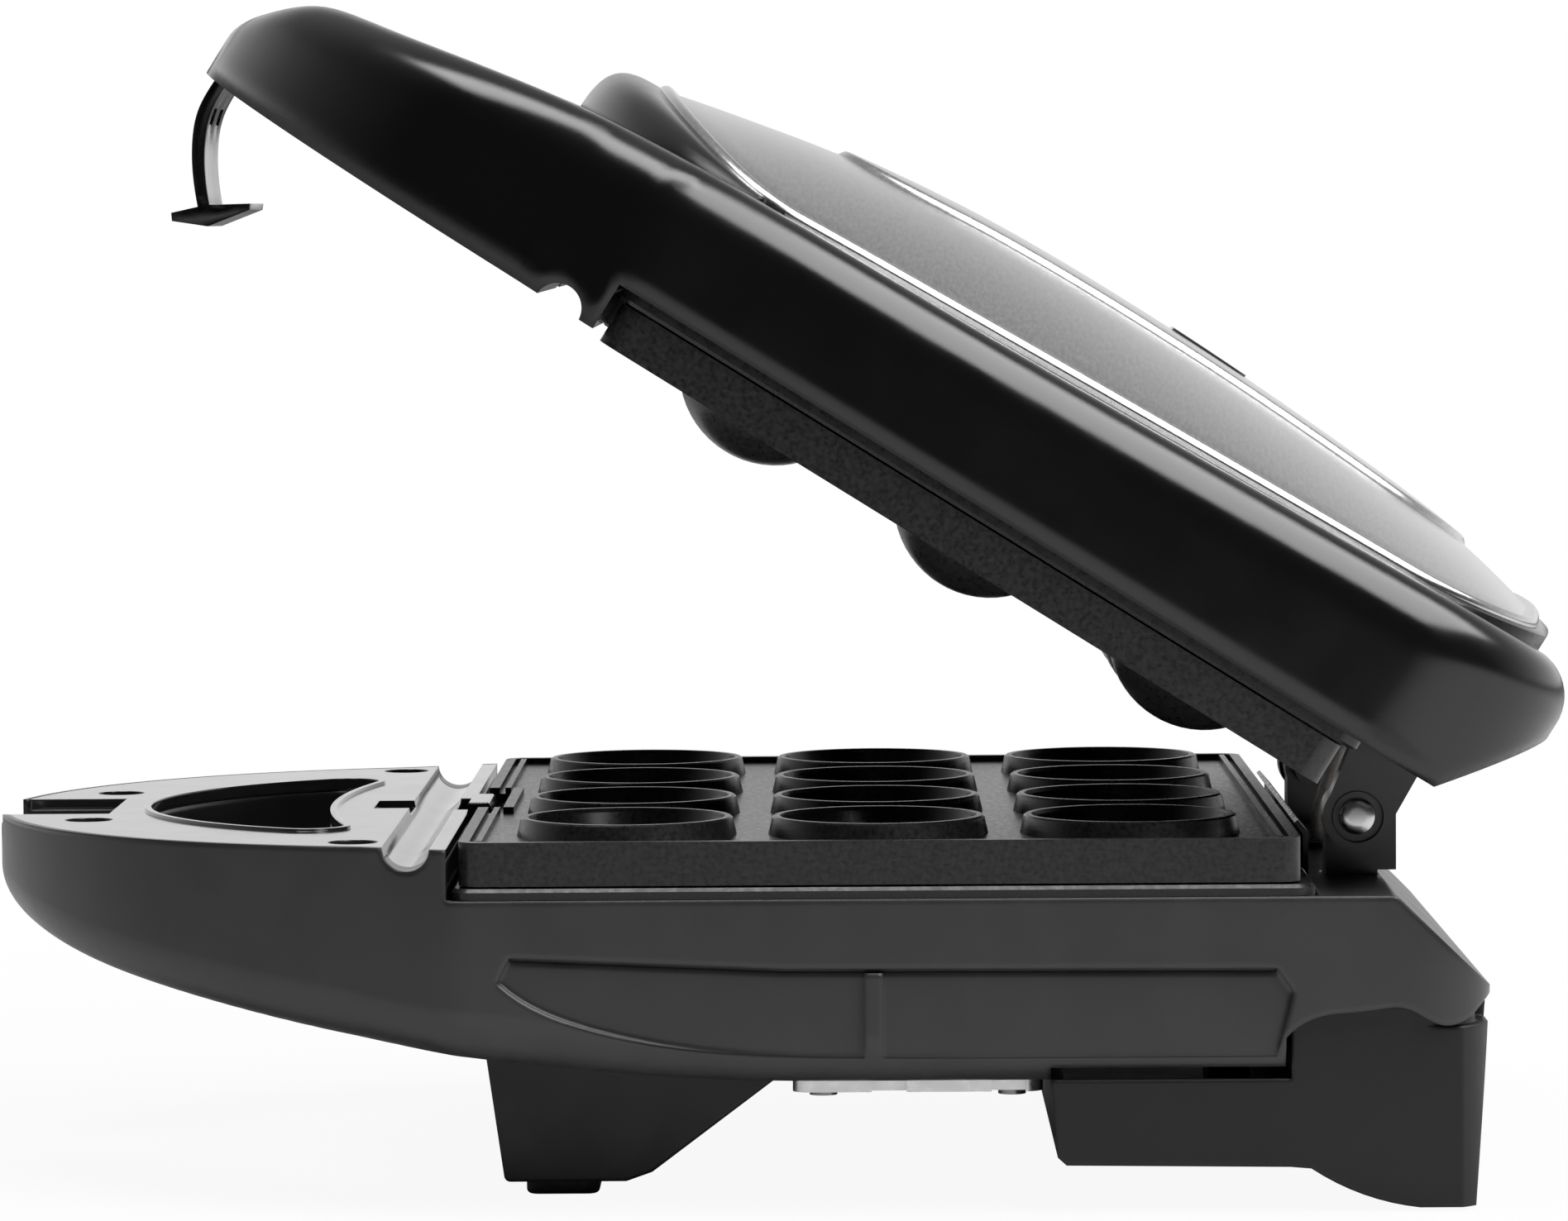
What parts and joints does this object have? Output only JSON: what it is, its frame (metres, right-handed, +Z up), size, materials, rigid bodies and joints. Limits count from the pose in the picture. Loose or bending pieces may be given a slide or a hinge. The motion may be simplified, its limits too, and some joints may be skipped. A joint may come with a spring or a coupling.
{
  "type": "mini tartlet maker",
  "caption": "Countertop cooker with a hinged lid, a removable cup plate below and a matching dome plate above, latch, finger openings and a steel lid panel.",
  "frame": {"origin": "centre of the bounding box at the level the feet rest on", "axes": "+Z up, +Y from the handle towards the hinge, +X to the right seen from the handle"},
  "size_m": [0.248, 0.3723, 0.2762],
  "materials": {
    "black_gloss": "glossy black moulded plastic",
    "base_satin": "satin black moulded plastic of the base",
    "charcoal_satin": "fine satin charcoal plastic",
    "panel_steel": "brushed along its length",
    "plate_coating": "dark non-stick coating on cast aluminium",
    "bezel_enamel": "satin black heat-proof paint",
    "reflector_metal": "bright rolled sheet",
    "element_steel": "dull tubular heater sheath",
    "hinge_metal": "satin grey-black paint",
    "pin_metal": "polished pin ends",
    "screw_metal": "dark zinc",
    "spring_metal": "blackened spring steel",
    "pad_rubber": "matt grip rubber",
    "lamp_lens": "smoked window over the two lamps",
    "lamp_amber": "clear amber lamp bodies",
    "wire_sleeve": "heat-proof woven sleeving",
    "terminal_ceramic": "unglazed ceramic"
  },
  "bodies": {
    "base": {"base_shell": "base_satin", "hinge_lug_left": "hinge_metal", "hinge_lug_right": "hinge_metal", "hinge_pins": "pin_metal", "hinge_lug_screws": "screw_metal", "rear_deflector": "bezel_enamel", "rear_foot_housing": "charcoal_satin", "rear_foot_pads": "pad_rubber", "front_foot_left": "charcoal_satin", "front_foot_right": "charcoal_satin", "front_foot_pads": "pad_rubber", "bottom_cover": "reflector_metal", "bottom_screws": "screw_metal", "cord_gland": "pad_rubber", "hinge_lead": "wire_sleeve", "base_wiring": "wire_sleeve", "base_grommet": "pad_rubber", "thermostat": "screw_metal", "lower_bezel": "bezel_enamel", "lower_reflector": "reflector_metal", "lower_element": "element_steel", "lower_plate": "plate_coating", "lower_plate_clips": "spring_metal", "lower_handle_cover": "charcoal_satin", "lower_cover_screws": "screw_metal", "lower_terminal_block": "terminal_ceramic"},
    "lid": {"lid_shell": "black_gloss", "steel_panel": "panel_steel", "indicator_lens": "lamp_lens", "indicator_lamps": "lamp_amber", "handle_insert": "black_gloss", "upper_bezel": "bezel_enamel", "upper_reflector": "reflector_metal", "upper_element": "element_steel", "upper_plate": "plate_coating", "upper_plate_clips": "spring_metal", "upper_handle_cover": "charcoal_satin", "upper_cover_screws": "screw_metal", "upper_terminal_block": "terminal_ceramic", "thermal_fuse": "terminal_ceramic", "lid_wiring": "wire_sleeve", "lid_grommet": "pad_rubber", "hinge_arm_left": "hinge_metal", "hinge_arm_right": "hinge_metal", "hinge_arm_screws": "screw_metal", "latch_pin": "screw_metal"},
    "latch": {"latch": "black_gloss"},
    "lower_catch": {"lower_plate_catch": "charcoal_satin"},
    "upper_catch": {"upper_plate_catch": "charcoal_satin"}
  },
  "joints": [
    {"name": "lid_hinge", "type": "hinge", "parent": "base", "child": "lid", "pos_m": [0, 0.1359, 0.0864], "axis": [-1, 0, 0], "range_deg": [-32.1, 68], "deforming": ["hinge_lead"]},
    {"name": "latch_swing", "type": "hinge", "parent": "lid", "child": "latch", "pos_m": [0, -0.12686, 0.26162], "axis": [-1, 0, 0], "range_deg": [-7, 10]},
    {"name": "lower_plate_catch_slide", "type": "slide", "parent": "base", "child": "lower_catch", "axis": [0, -1, 0], "range_m": [0, 0.004], "stiffness_N_per_m": 400, "springref_m": -0.002},
    {"name": "upper_plate_catch_slide", "type": "slide", "parent": "lid", "child": "upper_catch", "axis": [0, -0.8471, 0.5314], "range_m": [0, 0.004], "stiffness_N_per_m": 400, "springref_m": -0.002}
  ]
}
